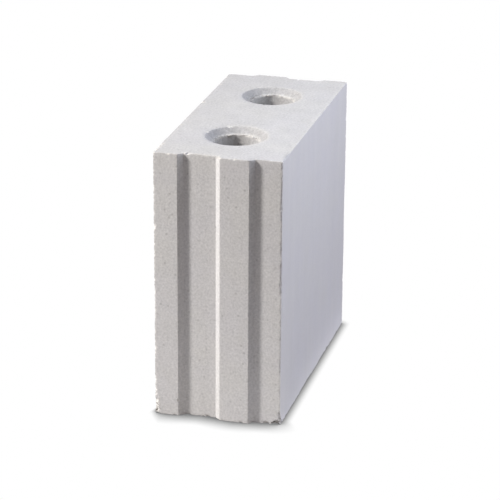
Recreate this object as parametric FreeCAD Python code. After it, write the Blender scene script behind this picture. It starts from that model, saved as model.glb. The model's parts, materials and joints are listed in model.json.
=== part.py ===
"""Solid calcium silicate (sand-lime) wall block with tongue-and-groove ends and two grip holes.

The block is pressed in one piece from sand and lime and then steam-hardened, so it is one solid.
Frame: X runs along the wall, Y through its thickness and Z up. The origin is at the middle of the
bottom bed face. Sizes are in millimetres.
"""

import FreeCAD
import Part

import os

# Work sizes of the block. The length is the length of each wall face, from one end to the other.
LENGTH = 248.0
THICKNESS = 115.0
HEIGHT = 248.0

# Tongue-and-groove profile of the ends. It is the same at both ends when the block is turned half
# round about Z, so that each end fits any other. Across an end, seen from outside and counted from
# its left-hand edge, come a rib, the groove, the tongue and the rebate, joined by sloping flanks.
# The tongue goes into the next block's groove and the rib into its rebate. All widths are measured
# at half the profile's depth.
PROFILE_DEPTH = 4.5
FLANK_RUN = 4.5
TONGUE_WIDTH = 31.0
CENTRE_PLAY = 0.3  # between the middle flanks of two blocks that are pushed together
SIDE_PLAY = 2.5  # room left over in each half of the end, beside its tongue and its rib

# Grip holes. They go right through from bed face to bed face, on the middle line of the thickness.
HOLE_SPACING = 125.0
BORE_RADIUS = 20.5
LEDGE_WIDTH = 1.4  # narrow ring where the bore breaks through the foot of the mouth
MOUTH_FLARE = 5.85  # the mouth's gain in radius from its foot up to the bed face
MOUTH_DEPTH = 5.2

OUT_FOLDER = "parts"


def end_outline():
    """Plan points of one end, from its left-hand edge to its right-hand one, seen from outside.

    The end faces -X, so its left-hand edge is the one at +Y.
    """
    raised = -(LENGTH + PROFILE_DEPTH) / 2
    recessed = -(LENGTH - PROFILE_DEPTH) / 2
    half_run = FLANK_RUN / 2
    left_edge = THICKNESS / 2
    rib_width = THICKNESS / 2 - TONGUE_WIDTH - SIDE_PLAY

    rib_flank = left_edge - rib_width
    middle_flank = -CENTRE_PLAY / 2
    tongue_flank = middle_flank - TONGUE_WIDTH
    return [
        (raised, left_edge),
        (raised, rib_flank + half_run),
        (recessed, rib_flank - half_run),
        (recessed, middle_flank + half_run),
        (raised, middle_flank - half_run),
        (raised, tongue_flank + half_run),
        (recessed, tongue_flank - half_run),
        (recessed, -left_edge),
    ]


def moulded_body():
    """The block before its holes: the plan outline with both ends, carried up to the full height."""
    near_end = end_outline()
    far_end = [(-x, -y) for x, y in near_end]
    corners = [FreeCAD.Vector(x, y, 0) for x, y in near_end + far_end]
    outline = Part.makePolygon(corners + corners[:1])
    return Part.Face(outline).extrude(FreeCAD.Vector(0, 0, HEIGHT))


def grip_hole(x):
    """The space of one grip hole at that place along the block: its bore and its funnel mouth.

    It is turned as one profile about the hole's axis.
    """
    foot_radius = BORE_RADIUS + LEDGE_WIDTH
    foot_height = HEIGHT - MOUTH_DEPTH
    half_section = [
        (0, 0),
        (BORE_RADIUS, 0),
        (BORE_RADIUS, foot_height),
        (foot_radius, foot_height),
        (foot_radius + MOUTH_FLARE, HEIGHT),
        (0, HEIGHT),
    ]
    points = [FreeCAD.Vector(x + r, 0, z) for r, z in half_section]
    section = Part.Face(Part.makePolygon(points + points[:1]))
    return section.revolve(FreeCAD.Vector(x, 0, 0), FreeCAD.Vector(0, 0, 1), 360)


def block():
    """The finished block."""
    body = moulded_body()
    for side in (-1, 1):
        body = body.cut(grip_hole(side * HOLE_SPACING / 2))
    return body


def main():
    os.makedirs(OUT_FOLDER, exist_ok=True)
    shape = block()
    solids = shape.Solids
    if len(solids) != 1 or not shape.isValid():
        raise ValueError("the block has to come out as one valid solid")
    solids[0].exportStep(os.path.join(OUT_FOLDER, "block.step"))
    print("volume in litres:", round(solids[0].Volume / 1e6, 4))


main()
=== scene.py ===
"""Looks of a solid calcium silicate wall block: worn, crumbly arrises and a fine sandy finish.

The block's plan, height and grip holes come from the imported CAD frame. This script rebuilds its
surface with fine faces along the arrises, wears and chips them, and gives the block its finishes.
Sizes in this script are in millimetres and are turned to metres by MM.
"""

import json
import math
import random

import bmesh
import bpy
from mathutils import Matrix, Vector, noise
from mathutils.kdtree import KDTree

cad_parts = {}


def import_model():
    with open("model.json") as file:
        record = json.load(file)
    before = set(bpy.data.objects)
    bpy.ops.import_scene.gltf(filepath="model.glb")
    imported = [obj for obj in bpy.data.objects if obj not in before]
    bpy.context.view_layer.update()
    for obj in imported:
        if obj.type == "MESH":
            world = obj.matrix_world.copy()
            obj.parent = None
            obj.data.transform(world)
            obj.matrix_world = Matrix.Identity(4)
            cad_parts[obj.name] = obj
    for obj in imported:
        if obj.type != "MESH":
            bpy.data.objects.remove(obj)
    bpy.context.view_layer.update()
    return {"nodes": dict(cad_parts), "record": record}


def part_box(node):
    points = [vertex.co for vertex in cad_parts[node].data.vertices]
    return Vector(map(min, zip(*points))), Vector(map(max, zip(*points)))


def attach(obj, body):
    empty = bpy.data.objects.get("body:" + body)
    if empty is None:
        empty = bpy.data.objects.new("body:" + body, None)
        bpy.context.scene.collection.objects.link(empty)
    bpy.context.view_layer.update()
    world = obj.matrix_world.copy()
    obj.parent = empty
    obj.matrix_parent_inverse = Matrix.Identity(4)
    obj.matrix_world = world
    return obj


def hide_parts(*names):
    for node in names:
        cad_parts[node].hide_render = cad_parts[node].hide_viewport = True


MM = 0.001
TINY = 0.001 * MM
SEED = 1894

# Faces. The plain stretches of a face are coarse, and the bands beside each arris are fine.
COARSE = 6.2
BAND_EDGES = (0.35, 1.0, 1.9, 2.8)
FINE_STEPS = ((2.8, 4.0), (1.9, 2.0), (1.0, 1.0))
ARRIS_ANGLE = math.radians(25)
HOLE_SEGMENTS = 96
BORE_ROW = 12.0

# The grip hole's mouth. Its depth, and the bore below it, come from the CAD mounts.
MOUTH_RADIUS = 27.75
LEDGE_WIDTH = 1.4

# Wear. Crumbs are the small bites all along the arrises, and chips are the larger ones.
CRUMB_PITCH = 3.2
CRUMB_SIZES = (0.8, 2.7)
ROUGH_GRAIN = 1.3
BLUNTING = 0.3
BLUNTING_REACH = 1.5

# Chips: the place on the arris where each one broke out, and its size.
CHIPS = (
    ((-121.75, -57.5, 0.0), 8.0),
    ((-121.75, -52.0, 0.0), 7.0),
    ((-121.75, -57.5, 6.0), 5.0),
    ((-121.75, -57.5, 12.0), 3.2),
    ((-121.75, -46.0, 0.0), 4.0),
    ((-126.25, 57.5, 0.0), 9.5),
    ((-126.25, 57.5, 6.0), 7.5),
    ((-126.25, 57.5, 12.0), 5.5),
    ((-126.25, 57.5, 18.0), 3.8),
    ((-126.25, 57.5, 23.0), 2.6),
    ((-126.25, 57.5, 248.0), 2.4),
    ((-126.25, -3.5, 248.0), 2.2),
    ((126.25, -57.5, 47.0), 4.6),
    ((126.25, -57.5, 51.0), 3.2),
    ((126.25, -57.5, 248.0), 3.0),
    ((121.75, 57.5, 248.0), 3.0),
    ((121.75, 57.5, 3.0), 5.0),
    ((20.0, 57.5, 0.0), 4.0),
    ((60.0, -57.5, 0.0), 3.0),
    ((126.25, -40.0, 0.0), 3.6),
    ((-69.5, 19.3, 242.8), 3.0),
    ((55.5, 19.3, 242.8), 3.4),
)

# Camera, in the block's own frame.
CAMERA_AZIMUTH = -75.106
CAMERA_ELEVATION = 20.783
CAMERA_ROLL = 0.354
CAMERA_DISTANCE = 2145.3
CAMERA_AIM = (-21.08, -2.06, 125.05)
CAMERA_LENS = 168.1
SENSOR_WIDTH = 36.0

# Light. Each lamp's place is the way to it from the block's middle, with its distance.
KEY_WAY = (-0.383, 0.766, 0.517)
KEY_DISTANCE = 2000.0
KEY_WIDTH = 280.0
KEY_POWER = 58.8
KEY_COLOUR = "#FFFEFE"
FILL_WAY = (0.3, -0.93, 0.2)
FILL_DISTANCE = 1500.0
FILL_WIDTH = 900.0
FILL_POWER = 14.2
FILL_COLOUR = "#EBECFF"
TOP_WAY = (0.0, -0.6, 0.8)
TOP_DISTANCE = 650.0
TOP_WIDTH = 300.0
TOP_POWER = 2.3
TOP_COLOUR = "#E5EFFF"
END_WAY = (-0.9, -0.25, 0.35)
END_DISTANCE = 1500.0
END_WIDTH = 700.0
END_POWER = 3.5
END_COLOUR = "#FFF7FC"
FAR_WAY = (0.98, 0.0, 0.12)
FAR_DISTANCE = 1500.0
FAR_WIDTH = 700.0
FAR_POWER = 13.0
FAR_COLOUR = "#F4F6FF"
# The floor's two areas, by their corners. It stops just in front of the right wall face, so that
# little light comes up on it there, and reaches furthest on the side of the key lamp.
FLOOR_AREAS = (((-560.0, -220.0), (-126.25, 740.0)), ((-126.25, -82.0), (330.0, 740.0)))
FLOOR_LEVEL = -0.05
FLOOR_COLOUR = "#CCCCCC"
# The painted contact shadow, a soft dark line painted into the floor's white glow where the block meets the floor:
# its width along the walls, how many times wider it is in front of the ribbed end, and how much narrower on the
# side of the key lamp.
PAINTED_SHADOW_REACH = 9.0
PAINTED_SHADOW_BEFORE_END = 2.4
PAINTED_SHADOW_BESIDE_KEY = 0.35

# Finishes. All are the same sand-lime mix, so they share its colours and grain and differ in
# how strongly each pattern shows, and in their tone. The tone is painted light and shade: it draws each kind of
# face lighter or darker as a whole, with the beds, end face and side walls lighter and the bores and mouths much
# darker.
# The real grains are 0.2 to 1 mm, too fine to show at the distance the block is looked at from, so the grain is
# drawn at about 2 mm.
WARM_COLOUR = "#C0BDB9"
COOL_COLOUR = "#BFBCBA"
FRACTURE_COLOUR = "#CDC9C3"
DARK_GRAIN_COLOUR = "#8C8884"
GRAIN = 2.0
GRAIN_SPACING = 7.0
MOTTLE = 18.0
TINT_PATCH = 38.0
STREAK_WIDTH = 9.0
STREAK_LENGTH = 150.0
STRIAE_ROUND_BORE = 60.0
FINISHES = {
    # Painted light: the beds are drawn a little lighter than the mix.
    "sand_lime_pressed_bed": {
        "tone": 1.015, "grain": 0.27, "mottle": 0.12, "streaks": 0.0, "dark": 0.4, "relief": 0.17},
    # Painted light: the end face is drawn 4% lighter than the mix.
    "sand_lime_ribbed_end_painted_light": {
        "tone": 1.04, "grain": 0.3, "mottle": 0.06, "streaks": 0.03, "dark": 0.5, "relief": 0.2},
    # Painted light: the side walls are drawn 5% lighter than the mix.
    "sand_lime_mould_slid_wall_painted_light": {
        "tone": 1.05, "grain": 0.05, "mottle": 0.03, "streaks": 0.035, "dark": 0.1, "relief": 0.05},
    # Painted shade: the mouths, ledges and bores of the holes are drawn at 0.8 of the mix's lightness.
    "sand_lime_bore_wall_painted_shade": {
        "tone": 0.8, "grain": 0.32, "mottle": 0.09, "streaks": 0.06, "dark": 0.5, "relief": 0.25},
}
BED, END, WALL, BORE = range(4)


def linear(hex_colour):
    """A linear RGBA colour from an sRGB hex one."""
    channels = [int(hex_colour[i:i + 2], 16) / 255 for i in (1, 3, 5)]
    return [c / 12.92 if c <= 0.04045 else ((c + 0.055) / 1.055) ** 2.4 for c in channels] + [1.0]


def metres(point):
    """A point or size list in millimetres as a vector in metres."""
    return Vector(point) * MM


# ---------------------------------------------------------------------------------------------
# Shape


def hole_sizes(record, height):
    """Axis, bore radius and mouth depth of each grip hole, in metres, from the CAD mounts."""
    holes = []
    for mount in record["mounts"]:
        if mount["kind"] == "bore":
            x, y, _ = mount["pos_m"]
            bore_length = mount["dims"]["length_mm"] * MM
            holes.append({
                "axis": Vector((x, y, 0)),
                "bore": mount["dims"]["r_mm"] * MM,
                "foot": bore_length,
                "depth": height - bore_length,
            })
    return holes


def outer_walls(cad, holes):
    """A bmesh of the CAD block's outer upright faces, each one whole and joined to the next."""
    bm = bmesh.new()
    bm.from_mesh(cad.data)
    bmesh.ops.remove_doubles(bm, verts=bm.verts, dist=TINY)
    bmesh.ops.dissolve_limit(bm, angle_limit=math.radians(0.5), verts=bm.verts, edges=bm.edges)
    bm.normal_update()

    def is_outer_wall(face):
        centre = face.calc_center_median()
        clear = [(centre - hole["axis"]).xy.length > 1.2 * hole["bore"] for hole in holes]
        return abs(face.normal.z) < 0.5 and all(clear)

    others = [face for face in bm.faces if not is_outer_wall(face)]
    bmesh.ops.delete(bm, geom=others, context="FACES")
    return bm


def divide_walls(bm, height):
    """Divides the outer walls into faces of about COARSE each way."""
    pitch = COARSE * MM
    upright = [e for e in bm.edges if abs(e.verts[0].co.z - e.verts[1].co.z) > height / 2]
    bmesh.ops.subdivide_edges(bm, edges=upright, cuts=round(height / pitch) - 1, use_grid_fill=True)
    by_pieces = {}
    for edge in bm.edges:
        if abs(edge.verts[0].co.z - edge.verts[1].co.z) < TINY:
            by_pieces.setdefault(round(edge.calc_length() / pitch), []).append(edge)
    for pieces, edges in by_pieces.items():
        if pieces > 1:
            bmesh.ops.subdivide_edges(bm, edges=edges, cuts=pieces - 1, use_grid_fill=True)


def close_bed(bm, level, holes, radius_of):
    """Fills the bed face at that level round its holes. Gives the rim edges of each hole."""
    outline = [e for e in bm.edges if e.is_boundary and all(abs(v.co.z - level) < TINY for v in e.verts)]
    rims = []
    for hole in holes:
        place = Matrix.Translation(hole["axis"] + Vector((0, 0, level)))
        circle = bmesh.ops.create_circle(bm, segments=HOLE_SEGMENTS, radius=radius_of(hole), matrix=place)
        rims.append(list({e for v in circle["verts"] for e in v.link_edges}))
    edges = outline + [e for rim in rims for e in rim]
    bmesh.ops.triangle_fill(bm, use_beauty=True, edges=edges)
    return rims


def sink_hole(bm, rim, hole):
    """Draws the rim down through the block: funnel mouth, ledge and bore."""
    radius = MOUTH_RADIUS * MM
    foot_radius = hole["bore"] + LEDGE_WIDTH * MM
    rows = round(hole["foot"] / (BORE_ROW * MM))
    stations = [(foot_radius, hole["foot"]), (hole["bore"], hole["foot"])]
    stations += [(hole["bore"], hole["foot"] * (1 - i / rows)) for i in range(1, rows + 1)]
    for next_radius, level in stations:
        made = bmesh.ops.extrude_edge_only(bm, edges=rim)["geom"]
        verts = [g for g in made if isinstance(g, bmesh.types.BMVert)]
        new = set(verts)
        rim = [g for g in made if isinstance(g, bmesh.types.BMEdge) and set(g.verts) <= new]
        share = next_radius / radius
        about_axis = Matrix.Translation(-hole["axis"])
        bmesh.ops.scale(bm, vec=(share, share, 1), space=about_axis, verts=verts)
        bmesh.ops.translate(bm, vec=(0, 0, level - verts[0].co.z), verts=verts)
        radius = next_radius


def faces_between_arrises(bm):
    """The faces in groups that meet without an arris: the beds, walls, flanks and hole walls."""
    left = set(bm.faces)
    groups = []
    while left:
        waiting = [left.pop()]
        group = []
        while waiting:
            face = waiting.pop()
            group.append(face)
            flat = [e for e in face.edges if e.calc_face_angle(0.0) < ARRIS_ANGLE]
            for other in {f for e in flat for f in e.link_faces}:
                if other in left:
                    left.remove(other)
                    waiting.append(other)
        groups.append(group)
    return groups


def is_arris(edge):
    """Whether two faces meet there in an outer corner."""
    return edge.calc_face_angle(0.0) > ARRIS_ANGLE and edge.is_convex


def fine_bands(bm):
    """Insets each face along its arrises in narrow bands, and cuts the bands into short faces."""
    away = bm.verts.layers.float.new("from_arris")
    for vert in bm.verts:
        vert[away] = 1.0
    groups = faces_between_arrises(bm)
    for edge in bm.edges:
        if edge.calc_face_angle(0.0) > ARRIS_ANGLE:
            for vert in edge.verts:
                vert[away] = 0.0
    for group in groups:
        if is_ledge(group):
            continue
        before = 0.0
        for distance in BAND_EDGES:
            step = (distance - before) * MM
            band = bmesh.ops.inset_region(
                bm, faces=group, thickness=step, use_boundary=True, use_even_offset=True)["faces"]
            inner = {v for f in group for v in f.verts} & {v for f in band for v in f.verts}
            for vert in inner:
                vert[away] = distance * MM
            before = distance
    for reach, longest in FINE_STEPS:
        along = [
            e for e in bm.edges
            if abs(e.verts[0][away] - e.verts[1][away]) < TINY
            and e.verts[0][away] < reach * MM + TINY
            and e.calc_length() > longest * MM
        ]
        bmesh.ops.subdivide_edges(bm, edges=along, cuts=1, use_grid_fill=True)


def is_ledge(group):
    """Whether the faces are the narrow ledge at the foot of a mouth."""
    widths = [min(e.calc_length() for e in face.edges) for face in group[:3]]
    return max(widths) < 1.5 * LEDGE_WIDTH * MM and abs(group[0].normal.z) > 0.9


def refine_round(bm, centre, reach):
    """Cuts the faces there small enough to take a chip's shape."""
    for longest in (4.0, 2.0, 1.0):
        near = [
            e for e in bm.edges
            if e.calc_length() > longest * MM
            and all((v.co - centre).length < reach for v in e.verts)
        ]
        bmesh.ops.subdivide_edges(bm, edges=near, cuts=1, use_grid_fill=True)


class Arrises:
    """The outer corners of the new block, in short stretches."""

    def __init__(self, bm):
        self.stretches = []
        for edge in bm.edges:
            if is_arris(edge):
                outward = (edge.link_faces[0].normal + edge.link_faces[1].normal).normalized()
                middle = (edge.verts[0].co + edge.verts[1].co) / 2
                self.stretches.append((middle, outward, edge.calc_length()))
        self.tree = KDTree(len(self.stretches))
        for index, (middle, _, _) in enumerate(self.stretches):
            self.tree.insert(middle, index)
        self.tree.balance()

    def nearest(self, point):
        """The way out of the block at the nearest stretch, and how far off that is."""
        _, index, distance = self.tree.find(point)
        return self.stretches[index][1], distance

    def way_out(self, point):
        """The way out of the block at a place on an arris, or on a corner where arrises meet."""
        ways = {self.stretches[index][1].to_tuple(1) for _, index, _ in self.tree.find_range(point, 2 * MM)}
        return sum((Vector(way) for way in ways), Vector()).normalized()


def exposure(place):
    """How many knocks an arris takes there: most at the lower bed and down the end's outer corners."""
    at_end = place.x < -100 * MM
    if place.z < TINY:
        return 1.5
    if abs(place.y) > 57 * MM and place.z < 247 * MM:
        low_down = 1 - place.z / (248 * MM)
        if at_end:
            return 0.8 + 2.6 * low_down if place.y > 0 else 1.8 + 2.2 * low_down
        return 0.5 + 0.6 * low_down
    if place.z > 247 * MM:
        return 1.6 if at_end else 0.25
    return 0.05


def blunt_arrises(bm, arrises, broken):
    """Takes the sharpness off every arris, unevenly, grain by grain."""
    reach = BLUNTING_REACH * MM
    for vert in bm.verts:
        outward, distance = arrises.nearest(vert.co)
        if distance < reach:
            grain = noise.noise(vert.co / (1.8 * MM))
            patch = max(0.0, noise.noise(vert.co / (9 * MM)))
            sag = max(0.0, noise.noise(vert.co / (35 * MM)))
            lost = max(0.0, 0.35 + 1.4 * grain + 0.9 * patch)
            depth = BLUNTING * MM * (0.4 + (lost + 3.5 * sag) * min(1.1, exposure(vert.co)))
            share = 1 - distance / reach
            vert.co -= outward * depth * share
            vert[broken] = max(vert[broken], min(1.0, share * (0.3 + 0.6 * patch + 0.5 * grain)))


class Bites:
    """Breaks rough hollows out of a mesh. The surface only ever moves into the block."""

    def __init__(self, bm, broken):
        bm.normal_update()
        self.verts = list(bm.verts)
        self.broken = broken
        self.low = [min(v.co[i] for v in self.verts) for i in range(3)]
        self.high = [max(v.co[i] for v in self.verts) for i in range(3)]
        self.tree = KDTree(len(self.verts))
        for index, vert in enumerate(self.verts):
            self.tree.insert(vert.co, index)
        self.tree.balance()

    def take(self, centre, radius):
        """Pushes the surface back out of a rough ball."""
        for _, index, _ in self.tree.find_range(centre, 1.4 * radius):
            vert = self.verts[index]
            offset = vert.co - centre
            rough = radius * (1 + 0.25 * noise.noise(vert.co / (ROUGH_GRAIN * MM)))
            depth = rough - offset.length
            if depth > 0 and offset.dot(vert.normal) < 0:
                moved = centre + offset.normalized() * rough
                vert.co = [max(low, min(high, c)) for low, high, c in zip(self.low, self.high, moved)]
                vert[self.broken] = max(vert[self.broken], min(1.0, depth / (0.25 * MM)))


def crumble(bites, arrises, chance):
    """Bites small crumbs out all along the arrises."""
    smallest, largest = CRUMB_SIZES
    for middle, outward, length in arrises.stretches:
        knocks = exposure(middle)
        if chance.random() < min(1.1, knocks) * length / (CRUMB_PITCH * MM):
            radius = (smallest + (largest - smallest) * chance.random() ** (4 / knocks)) * MM
            centre = middle + outward * radius * chance.uniform(0.3, 0.8)
            bites.take(centre, radius)


def chip(bites, place, outward, size, chance):
    """Breaks one chip out of an arris: a few rough hollows side by side."""
    for _ in range(7):
        aside = Vector([chance.uniform(-1, 1) for _ in range(3)]) * size * 0.4
        radius = size * chance.uniform(0.35, 0.75)
        bites.take(place + outward * radius * 0.7 + aside, radius)


def ragged_rims(bm, holes, broken):
    """Leaves the ledge in each mouth ragged, as where the bore's skin of sand broke through."""
    for hole in holes:
        for vert in bm.verts:
            spoke = (vert.co - hole["axis"]).to_2d()
            inner = math.hypot(spoke.length - hole["bore"], vert.co.z - hole["foot"])
            if inner < 2.4 * MM and spoke.length < hole["bore"] + 2 * LEDGE_WIDTH * MM:
                share = 1 - inner / (2.4 * MM)
                coarse = noise.noise(vert.co / (3.1 * MM) + Vector((7, 0, 0)))
                fine = noise.noise(vert.co / (1.1 * MM) + Vector((0, 5, 0)))
                outward = share * (1.5 * coarse + 1.3 * fine) * MM
                drop = share * (0.8 * noise.noise(vert.co / (1.7 * MM)) - 0.35) * MM
                unit = spoke.normalized()
                vert.co += Vector((unit.x * outward, unit.y * outward, drop))
                vert[broken] = max(vert[broken], min(1.0, 1.6 * share))


def wear(bm, holes):
    """Blunts, crumbles and chips the arrises of the new block."""
    chance = random.Random(SEED)
    for place, size in CHIPS:
        refine_round(bm, metres(place), 1.6 * size * MM)
    bm.normal_update()
    broken = bm.verts.layers.float.new("broken")
    arrises = Arrises(bm)
    ragged_rims(bm, holes, broken)
    blunt_arrises(bm, arrises, broken)
    bites = Bites(bm, broken)
    crumble(bites, arrises, chance)
    for place, size in CHIPS:
        point = metres(place)
        chip(bites, point, arrises.way_out(point), size * MM, chance)


def block_mesh(cad, height, holes):
    """The worn block as a mesh."""
    bm = outer_walls(cad, holes)
    divide_walls(bm, height)
    close_bed(bm, 0.0, holes, lambda hole: hole["bore"])
    rims = close_bed(bm, height, holes, lambda hole: MOUTH_RADIUS * MM)
    for rim, hole in zip(rims, holes):
        sink_hole(bm, rim, hole)
    bmesh.ops.remove_doubles(bm, verts=bm.verts, dist=TINY)
    bmesh.ops.recalc_face_normals(bm, faces=bm.faces)
    fine_bands(bm)
    give_finishes(bm, holes)
    wear(bm, holes)
    bm.normal_update()
    mesh = bpy.data.meshes.new("block_body")
    bm.to_mesh(mesh)
    bm.free()
    mesh.shade_smooth()
    mesh.set_sharp_from_angle(angle=math.radians(32))
    return mesh


# ---------------------------------------------------------------------------------------------
# Stage


def aim_camera():
    """A long lens a little above the block, looking at one end and one wall face."""
    azimuth = math.radians(CAMERA_AZIMUTH)
    elevation = math.radians(CAMERA_ELEVATION)
    back = Vector((
        math.sin(azimuth) * math.cos(elevation),
        -math.cos(azimuth) * math.cos(elevation),
        math.sin(elevation),
    ))
    data = bpy.data.cameras.new("camera")
    data.sensor_width = SENSOR_WIDTH
    data.lens = CAMERA_LENS
    data.clip_start = 0.05
    data.clip_end = 50.0
    camera = bpy.data.objects.new("camera", data)
    camera.location = metres(CAMERA_AIM) + back * (CAMERA_DISTANCE * MM)
    turn = (-back).to_track_quat("-Z", "Y").to_matrix()
    roll = Matrix.Rotation(math.radians(CAMERA_ROLL), 3, "Z")
    camera.rotation_euler = (turn @ roll).to_euler()
    bpy.context.scene.collection.objects.link(camera)
    bpy.context.scene.camera = camera


def add_lamp(name, way, distance, width, power, colour):
    """A round softbox that faces the block's middle from that way and distance."""
    data = bpy.data.lights.new(name, "AREA")
    data.shape = "DISK"
    data.size = width * MM
    data.energy = power
    data.color = linear(colour)[:3]
    lamp = bpy.data.objects.new(name, data)
    towards = Vector(way).normalized()
    lamp.location = metres((0, 0, 124)) + towards * (distance * MM)
    lamp.rotation_euler = towards.to_track_quat("Z", "Y").to_euler()
    bpy.context.scene.collection.objects.link(lamp)


def add_node(tree, kind, inputs=None, **settings):
    """Adds a shader node. Each input is a value, or the output that is linked to it."""
    made = tree.nodes.new("ShaderNode" + kind)
    for name, value in settings.items():
        setattr(made, name, value)
    for key, value in (inputs or {}).items():
        socket = made.inputs[key]
        if isinstance(value, bpy.types.NodeSocket):
            tree.links.new(value, socket)
        else:
            socket.default_value = value
    return made


def seen_directly(tree):
    """1 for rays that see the backdrop itself, straight, in a gloss or through glass, and else 0."""
    path = add_node(tree, "LightPath").outputs
    either = add_node(tree, "Math", {0: path["Is Camera Ray"], 1: path["Is Glossy Ray"]}, operation="ADD")
    all_three = add_node(
        tree, "Math", {0: either.outputs[0], 1: path["Is Transmission Ray"]}, operation="ADD", use_clamp=True)
    return all_three.outputs[0]


def light_world():
    """An unlit surround, so the lamps alone give the light. Seen directly, it is plain white."""
    world = bpy.data.worlds.new("white_studio")
    bpy.context.scene.world = world
    world.use_nodes = True
    tree = world.node_tree
    tree.nodes.clear()
    white = add_node(tree, "Background", {"Color": (1, 1, 1, 1), "Strength": seen_directly(tree)})
    add_node(tree, "OutputWorld", {"Surface": white.outputs[0]})


def lay_floor():
    """A pale table that throws light up at the block. Seen directly it is white, with a painted shadow
    close to the block, where its white glow is darkened by how much of its nearby surroundings the block hides."""
    bm = bmesh.new()
    for low, high in FLOOR_AREAS:
        made = bmesh.ops.create_grid(bm, x_segments=1, y_segments=1, size=0.5)["verts"]
        low, high = metres((*low, FLOOR_LEVEL)), metres((*high, FLOOR_LEVEL))
        bmesh.ops.scale(bm, vec=(high.x - low.x, high.y - low.y, 1), verts=made)
        bmesh.ops.translate(bm, vec=(low + high) / 2, verts=made)
    mesh = bpy.data.meshes.new("floor")
    bm.to_mesh(mesh)
    bm.free()
    floor = bpy.data.objects.new("floor", mesh)
    bpy.context.scene.collection.objects.link(floor)

    material = bpy.data.materials.new("white_table")
    material.use_nodes = True
    tree = material.node_tree
    tree.nodes.clear()
    place = add_node(tree, "NewGeometry").outputs["Position"]
    x, y, _ = add_node(tree, "SeparateXYZ", {0: place}).outputs
    before_end = add_node(tree, "MapRange", {
        "Value": x, "From Min": -0.112, "From Max": -0.13, "To Min": 1.0, "To Max": PAINTED_SHADOW_BEFORE_END}).outputs[0]
    beside_key = add_node(tree, "MapRange", {
        "Value": y, "From Min": 0.05, "From Max": 0.06,
        "To Min": PAINTED_SHADOW_REACH * MM, "To Max": PAINTED_SHADOW_REACH * PAINTED_SHADOW_BESIDE_KEY * MM}).outputs[0]
    reach = add_node(tree, "Math", {0: before_end, 1: beside_key}, operation="MULTIPLY").outputs[0]
    # Painted shadow: the floor's white glow is darkened by how little of its surroundings each point sees within
    # the reach.
    open_sky = add_node(tree, "AmbientOcclusion", {"Distance": reach}, samples=16).outputs["AO"]
    shade = add_node(tree, "MapRange", {"Value": open_sky, "From Min": 0.5, "To Min": 0.24})
    white = add_node(tree, "Emission", {"Strength": shade.outputs[0]})
    table = add_node(tree, "BsdfDiffuse", {"Color": linear(FLOOR_COLOUR)})
    mixed = add_node(tree, "MixShader", {0: seen_directly(tree), 1: table.outputs[0], 2: white.outputs[0]})
    add_node(tree, "OutputMaterial", {"Surface": mixed.outputs[0]})
    mesh.materials.append(material)


# ---------------------------------------------------------------------------------------------
# Finishes


def give_finishes(bm, holes):
    """Marks each face of the new block with its finish."""
    for face in bm.faces:
        centre = face.calc_center_median()
        spokes = [(centre - hole["axis"]).xy.length for hole in holes]
        if min(spokes) < MOUTH_RADIUS * MM and (abs(face.normal.z) < 0.99 or is_in_ledge(centre, holes)):
            # The bore finish carries painted shade into the mouths, ledges and bores.
            face.material_index = BORE
        elif abs(face.normal.z) > 0.9:
            face.material_index = BED
        elif abs(face.normal.y) > 0.99 and abs(centre.y) > 57 * MM:
            face.material_index = WALL
        else:
            face.material_index = END


def is_in_ledge(point, holes):
    """Whether the point is down at the foot of a mouth."""
    return abs(point.z - holes[0]["foot"]) < 0.5 * MM


def pattern(tree, vector, size, detail=2.0):
    """Soft random patches of that size in mm, from 0 to 1."""
    scale = 1 / (size * MM)
    return add_node(
        tree, "TexNoise", {"Vector": vector, "Scale": scale, "Detail": detail, "Roughness": 0.6}).outputs[0]


def drag_streaks(tree, place):
    """Upright streaks, dragged down the block's sides as it slid out of its mould."""
    stretch = (1 / (STREAK_WIDTH * MM), 1 / (STREAK_WIDTH * MM), 1 / (STREAK_LENGTH * MM))
    stretched = add_node(tree, "VectorMath", {0: place, 1: stretch}, operation="MULTIPLY").outputs[0]
    return add_node(tree, "TexNoise", {"Vector": stretched, "Scale": 1.0, "Detail": 2.0}).outputs[0]


def bore_striae(tree, place, holes):
    """Fine lines down the bores and out over their mouths, left by the former as it drew out."""
    across = abs(holes[0]["axis"].x)
    parts = add_node(tree, "SeparateXYZ", {0: place}).outputs
    beside = add_node(tree, "Math", {0: parts[0]}, operation="ABSOLUTE").outputs[0]
    from_axis = add_node(tree, "Math", {0: beside, 1: across}, operation="SUBTRACT").outputs[0]
    angle = add_node(tree, "Math", {0: parts[1], 1: from_axis}, operation="ARCTAN2").outputs[0]
    turns = STRIAE_ROUND_BORE / math.tau
    line = add_node(tree, "Math", {0: angle, 1: turns}, operation="MULTIPLY").outputs[0]
    height = add_node(tree, "Math", {0: parts[2], 1: 1 / (STREAK_LENGTH * MM)}, operation="MULTIPLY").outputs[0]
    place_on_wall = add_node(tree, "CombineXYZ", {0: line, 1: height}).outputs[0]
    return add_node(tree, "TexNoise", {"Vector": place_on_wall, "Scale": 1.0, "Detail": 2.0}).outputs[0]


def dark_grains(tree, place, strength):
    """Sparse single grains of darker sand: how much each point belongs to one."""
    cells = add_node(tree, "TexVoronoi", {"Vector": place, "Scale": 1 / (GRAIN_SPACING * MM)}).outputs
    radius = 0.5 * GRAIN / GRAIN_SPACING
    spot = add_node(tree, "MapRange", {
        "Value": cells["Distance"],
        "From Min": 0.4 * radius, "From Max": 1.5 * radius, "To Min": strength, "To Max": 0.0,
    }).outputs[0]
    own_tone = add_node(tree, "SeparateColor", {0: cells["Color"]}).outputs[0]
    return add_node(tree, "Math", {0: spot, 1: own_tone}, operation="MULTIPLY").outputs[0]


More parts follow.
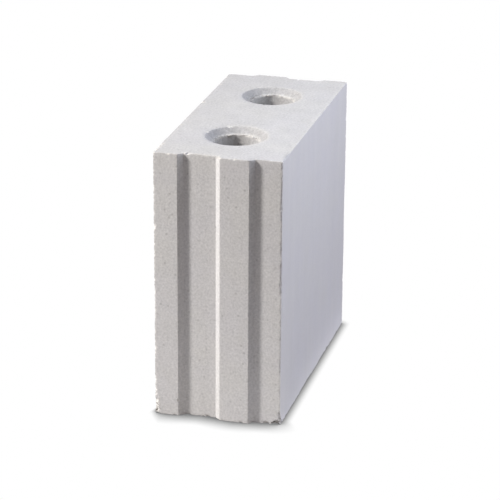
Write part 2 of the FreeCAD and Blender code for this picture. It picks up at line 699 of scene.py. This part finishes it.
def varied(tree, middle, patterns):
    """A tone about that middle one, which the patterns make lighter and darker by their shares."""
    tone = middle - sum(share for _, share in patterns)
    for source, share in patterns:
        tone = add_node(tree, "Math", {0: source, 1: 2 * share, 2: tone}, operation="MULTIPLY_ADD").outputs[0]
    return tone


def mixed_colour(tree, factor, first, second):
    """The first colour turning into the second."""
    return add_node(tree, "Mix", {"Factor": factor, 6: first, 7: second}, data_type="RGBA").outputs[2]


def sand_lime(name, holes):
    """Dull, fine-grained pale grey sand-lime with faint warm and cool patches. Where it is
    broken it shows paler, rougher and more speckled stone."""
    looks = FINISHES[name]
    material = bpy.data.materials.new(name)
    material.use_nodes = True
    tree = material.node_tree
    tree.nodes.clear()
    place = add_node(tree, "TexCoord").outputs["Object"]
    grain = pattern(tree, place, GRAIN)
    mottle = pattern(tree, place, MOTTLE, 3.0)
    lines = bore_striae(tree, place, holes) if "bore" in name else drag_streaks(tree, place)
    # Painted light and shade: the finish's tone draws the whole face lighter or darker, and the patterns vary it
    # about that.
    tone = varied(
        tree, looks["tone"], [(grain, looks["grain"]), (mottle, looks["mottle"]), (lines, looks["streaks"])])
    tint = add_node(
        tree, "MapRange", {"Value": pattern(tree, place, TINT_PATCH), "From Min": 0.35, "From Max": 0.65})
    plain = mixed_colour(tree, tint.outputs[0], linear(WARM_COLOUR), linear(COOL_COLOUR))
    toned = add_node(tree, "VectorMath", {0: plain, "Scale": tone}, operation="SCALE").outputs[0]
    sanded = mixed_colour(tree, dark_grains(tree, place, looks["dark"]), toned, linear(DARK_GRAIN_COLOUR))

    broken = add_node(tree, "Attribute", attribute_name="broken").outputs["Fac"]
    rough_tone = varied(tree, 1.0, [(grain, 0.35)])
    stone = add_node(
        tree, "VectorMath", {0: linear(FRACTURE_COLOUR)[:3], "Scale": rough_tone}, operation="SCALE").outputs[0]
    share = add_node(tree, "Math", {0: broken, 1: 0.8}, operation="MULTIPLY").outputs[0]
    colour = mixed_colour(tree, share, sanded, stone)
    depth = add_node(tree, "Math", {0: broken, 1: 0.3, 2: looks["relief"]}, operation="MULTIPLY_ADD").outputs[0]
    relief = add_node(tree, "Math", {0: grain, 1: depth}, operation="MULTIPLY").outputs[0]
    bump = add_node(tree, "Bump", {"Height": relief, "Strength": 1.0, "Distance": 1.0 * MM}).outputs[0]
    shader = add_node(tree, "BsdfPrincipled", {
        "Base Color": colour, "Roughness": 0.93, "Specular IOR Level": 0.25, "Normal": bump})
    add_node(tree, "OutputMaterial", {"Surface": shader.outputs[0]})
    return material


def main():
    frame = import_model()
    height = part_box("block")[1].z
    holes = hole_sizes(frame["record"], height)
    mesh = block_mesh(frame["nodes"]["block"], height, holes)
    for name in FINISHES:
        mesh.materials.append(sand_lime(name, holes))
    block = bpy.data.objects.new("block_body", mesh)
    bpy.context.scene.collection.objects.link(block)
    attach(block, "root")
    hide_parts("block")
    aim_camera()
    add_lamp("key_lamp", KEY_WAY, KEY_DISTANCE, KEY_WIDTH, KEY_POWER, KEY_COLOUR)
    add_lamp("fill_lamp", FILL_WAY, FILL_DISTANCE, FILL_WIDTH, FILL_POWER, FILL_COLOUR)
    add_lamp("top_lamp", TOP_WAY, TOP_DISTANCE, TOP_WIDTH, TOP_POWER, TOP_COLOUR)
    add_lamp("end_lamp", END_WAY, END_DISTANCE, END_WIDTH, END_POWER, END_COLOUR)
    add_lamp("far_lamp", FAR_WAY, FAR_DISTANCE, FAR_WIDTH, FAR_POWER, FAR_COLOUR)
    light_world()
    lay_floor()
    bpy.context.scene.view_settings.view_transform = "Standard"


main()
